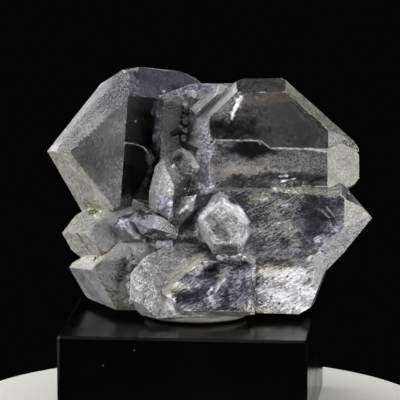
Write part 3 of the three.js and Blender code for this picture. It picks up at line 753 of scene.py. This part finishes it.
def quartz():
    material, tree, output = new_material("etched_smoky_quartz")
    haze, grain, fibre, dust, tint, place = [
        add_node(tree, "ShaderNodeAttribute", attribute_name=name)
        for name in ("haze", "grain", "fibre", "dust", "tint", "place")
    ]
    cells = add_node(tree, "ShaderNodeTexVoronoi", {
        "Vector": place.outputs["Vector"], "Scale": 1 / GRAIN_MM,
    })
    cell = add_node(tree, "ShaderNodeSeparateColor", {"Color": cells.outputs["Color"]})
    combed = add_node(tree, "ShaderNodeMapping", {
        "Vector": place.outputs["Vector"],
        "Rotation": (0, -FIBRE_TILT, 0),
        "Scale": (FIBRE_LONG_MM, FIBRE_LONG_MM, FIBRE_MM),
    }, vector_type="TEXTURE")
    strand = add_node(tree, "ShaderNodeTexNoise", {
        "Vector": combed.outputs["Vector"], "Scale": 1.0, "Detail": 4.0, "Roughness": 0.7, "Distortion": 1.6,
    })
    # Both patterns as -1 to 1, each as strong as the skin is grained or combed there.
    speckled = add_node(tree, "ShaderNodeMapRange", {
        "Value": cell.outputs["Red"], "To Min": -1.0,
    })
    combing = add_node(tree, "ShaderNodeMapRange", {
        "Value": strand.outputs["Fac"], "From Min": 0.34, "From Max": 0.66, "To Min": -1.0,
    })
    grained = add_node(tree, "ShaderNodeMath", {
        0: speckled.outputs["Result"], 1: grain.outputs["Fac"],
    }, operation="MULTIPLY")
    fibrous = add_node(tree, "ShaderNodeMath", {
        0: combing.outputs["Result"], 1: fibre.outputs["Fac"],
    }, operation="MULTIPLY")
    change = add_node(tree, "ShaderNodeMath", {
        0: fibrous.outputs["Value"], 1: COMBING_POWER, 2: grained.outputs["Value"],
    }, operation="MULTIPLY_ADD")
    times = add_node(tree, "ShaderNodeMath", {
        0: GRAIN_TIMES, 1: change.outputs["Value"],
    }, operation="POWER")
    frost = add_node(tree, "ShaderNodeMath", {
        0: haze.outputs["Fac"], 1: times.outputs["Value"],
    }, operation="MULTIPLY", use_clamp=True)
    clear = add_node(tree, "ShaderNodeMath", {
        0: 1.0, 1: frost.outputs["Value"],
    }, operation="SUBTRACT", use_clamp=True)
    # An etched skin is matt even where it is hardly white.
    matt = add_node(tree, "ShaderNodeMath", {
        0: grain.outputs["Fac"], 1: GRAIN_MATT, 2: frost.outputs["Value"],
    }, operation="MULTIPLY_ADD")
    rough = add_node(tree, "ShaderNodeMapRange", {
        "Value": matt.outputs["Value"], "From Max": 0.3, "To Min": 0.03, "To Max": 0.5,
    })
    # Painted shade: the less frosted grains and streaks are drawn darker, down to half as bright, as if the
    # etch pits held shadow.
    darker = add_node(tree, "ShaderNodeMapRange", {
        "Value": change.outputs["Value"], "From Min": -1.0, "To Min": 0.5,
    })
    shaded = add_node(tree, "ShaderNodeMix", {
        "Factor": 1.0, "A": tint.outputs["Color"], "B": darker.outputs["Result"],
    }, data_type="RGBA", blend_type="MULTIPLY")
    # Chlorite lies on some of the grains and leaves others bare.
    dusty = add_node(tree, "ShaderNodeMapRange", {
        "Value": cell.outputs["Green"], "From Min": 0.7, "From Max": 0.3,
    })
    greened = add_node(tree, "ShaderNodeMath", {
        0: dusty.outputs["Result"], 1: dust.outputs["Fac"],
    }, operation="MULTIPLY")
    colour = add_node(tree, "ShaderNodeMix", {
        "Factor": greened.outputs["Value"], "A": shaded.outputs["Result"], "B": linear(CHLORITE),
    }, data_type="RGBA")
    # Each grain is an etch pit, deepest in its middle, and the combed skin has fine ribs.
    pitted = add_node(tree, "ShaderNodeMath", {
        0: cells.outputs["Distance"], 1: grain.outputs["Fac"],
    }, operation="MULTIPLY")
    ribbed = add_node(tree, "ShaderNodeMath", {
        0: strand.outputs["Fac"], 1: RIB_HEIGHT,
    }, operation="MULTIPLY")
    relief = add_node(tree, "ShaderNodeMath", {
        0: ribbed.outputs["Value"], 1: fibre.outputs["Fac"], 2: pitted.outputs["Value"],
    }, operation="MULTIPLY_ADD")
    bump = add_node(tree, "ShaderNodeBump", {
        "Strength": 0.6, "Distance": RELIEF_MM * MM, "Height": relief.outputs["Value"],
    })
    stone = add_node(tree, "ShaderNodeBsdfPrincipled", {
        "Base Color": colour.outputs["Result"],
        "Roughness": rough.outputs["Result"],
        "IOR": 1.544,
        "Transmission Weight": clear.outputs["Value"],
        "Normal": bump.outputs["Normal"],
    })
    smoke = add_node(tree, "ShaderNodeVolumeAbsorption", {
        "Color": linear(SMOKE), "Density": SMOKE_DENSITY,
    })
    tree.links.new(stone.outputs["BSDF"], output.inputs["Surface"])
    tree.links.new(smoke.outputs["Volume"], output.inputs["Volume"])
    return material


def add_quartz():
    skin = Skin(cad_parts["quartz_cluster"].data)
    skin.refine()
    mesh = skin.mesh()
    quartz_finish(skin, mesh)
    mesh.materials.append(quartz())
    piece = new_piece("quartz_crystals", mesh)
    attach(piece, "root")
    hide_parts("quartz_cluster")


# ---- Block and putty ----------------------------------------------------------------------------

# Cast acrylic, dyed black and machine-polished: a deep black with a clear but slightly soft
# reflection, under a film of dust that lies in patches of this size.
FILM_MM = 11.11
# Specks of lint about 0.3 mm across, which is a little larger than real. There is one to a cube of
# this size, and only those at the surface show, so a side of the block has a few.
LINT_APART_MM = 5.882


def acrylic():
    material, tree, output = new_material("polished_black_acrylic")
    coordinates = add_node(tree, "ShaderNodeTexCoord")
    film = add_node(tree, "ShaderNodeTexNoise", {
        "Vector": coordinates.outputs["Object"], "Scale": 1 / (FILM_MM * MM), "Detail": 4.0,
    })
    rough = add_node(tree, "ShaderNodeMapRange", {
        "Value": film.outputs["Fac"], "From Min": 0.35, "From Max": 0.65, "To Min": 0.14, "To Max": 0.24,
    })
    specks = add_node(tree, "ShaderNodeTexVoronoi", {
        "Vector": coordinates.outputs["Object"], "Scale": 1 / (LINT_APART_MM * MM),
    })
    # A speck is solid up to 0.02 of the cube's side from its middle, and gone by 0.04.
    lint = add_node(tree, "ShaderNodeMapRange", {
        "Value": specks.outputs["Distance"], "From Min": 0.04, "From Max": 0.02,
    })
    colour = add_node(tree, "ShaderNodeMix", {
        "Factor": lint.outputs["Result"], "A": linear("#030303"), "B": linear("#3c3c3c"),
    }, data_type="RGBA")
    body = add_node(tree, "ShaderNodeBsdfPrincipled", {
        "Base Color": colour.outputs["Result"],
        "Roughness": rough.outputs["Result"],
        "IOR": 1.49,
        "Specular IOR Level": 0.1,
    })
    tree.links.new(body.outputs["BSDF"], output.inputs["Surface"])
    return material


# The pad's middle on top of the block, its radius and its height, in mm.
PUTTY_AT = Vector((0.9, -2.4, 20.0))
PUTTY_RADIUS = 10.2
PUTTY_TOP = 1.75
# How uneven its rim is, as a share of its radius, and its top, in mm.
RIM_UNEVEN = 0.035
TOP_UNEVEN_MM = 0.13


def putty_mesh():
    """A thumb-pressed pad: a round-edged disc with an uneven rim and top."""
    around, rows = 96, 26
    turns = np.linspace(0, 2 * math.pi, around, endpoint=False)
    rings = []
    # The powers under 1 fill out the round section, so that the pad has a flat top and a full rim.
    for climb in np.linspace(-math.pi / 2, math.pi / 2, rows + 2)[1:-1]:
        out = PUTTY_RADIUS * math.cos(climb) ** 0.4
        height = 0.5 * PUTTY_TOP * (1 + math.copysign(abs(math.sin(climb)) ** 0.8, climb))
        rings.append(np.column_stack([out * np.cos(turns), out * np.sin(turns), np.full(around, height)]))
    points = np.vstack([*rings, [0, 0, 0], [0, 0, PUTTY_TOP]])
    points[:, :2] *= 1 + RIM_UNEVEN * wobble(points * (1, 1, 0), 6, 21)[:, None]
    points[:, 2] += TOP_UNEVEN_MM * wobble(points, 2.6, 22) * step(0.5, 1.4, points[:, 2])
    foot, top = len(points) - 2, len(points) - 1
    faces = []
    for k in range(around):
        beside = (k + 1) % around
        faces.append((beside, k, foot))
        for row in range(0, (rows - 1) * around, around):
            faces.append((row + k, row + beside, row + around + beside, row + around + k))
        faces.append(((rows - 1) * around + k, (rows - 1) * around + beside, top))
    mesh = bpy.data.meshes.new("putty")
    mesh.from_pydata((points + PUTTY_AT).tolist(), [], faces)
    mesh.transform(Matrix.Scale(MM, 4))
    mesh.polygons.foreach_set("use_smooth", [True] * len(mesh.polygons))
    return mesh


# Oil-bound mounting putty, kneaded by hand: a matt, greasy beige-grey with soft dents of this size
# and depth.
DENT_MM = 1.4286
DENT_DEEP_MM = 0.25


def putty():
    material, tree, output = new_material("beige_mounting_putty")
    coordinates = add_node(tree, "ShaderNodeTexCoord")
    kneading = add_node(tree, "ShaderNodeTexNoise", {
        "Vector": coordinates.outputs["Object"], "Scale": 1 / (DENT_MM * MM), "Detail": 4.0,
        "Roughness": 0.6,
    })
    colour = add_node(tree, "ShaderNodeMix", {
        "Factor": kneading.outputs["Fac"], "A": linear("#4b4944"), "B": linear("#6b6963"),
    }, data_type="RGBA")
    dents = add_node(tree, "ShaderNodeBump", {
        "Strength": 0.7, "Distance": DENT_DEEP_MM * MM, "Height": kneading.outputs["Fac"],
    })
    body = add_node(tree, "ShaderNodeBsdfPrincipled", {
        "Base Color": colour.outputs["Result"], "Roughness": 0.7, "Normal": dents.outputs["Normal"],
    })
    tree.links.new(body.outputs["BSDF"], output.inputs["Surface"])
    return material


def add_putty():
    mesh = putty_mesh()
    mesh.materials.append(putty())
    piece = new_piece("mounting_putty_pad", mesh)
    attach(piece, "root")
    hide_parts("mounting_putty")


def dress(node, material):
    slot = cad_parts[node].material_slots[0]
    slot.link = "OBJECT"
    slot.material = material


add_camera()
add_floor()
add_lights()
add_quartz()
dress("display_block", acrylic())
add_putty()
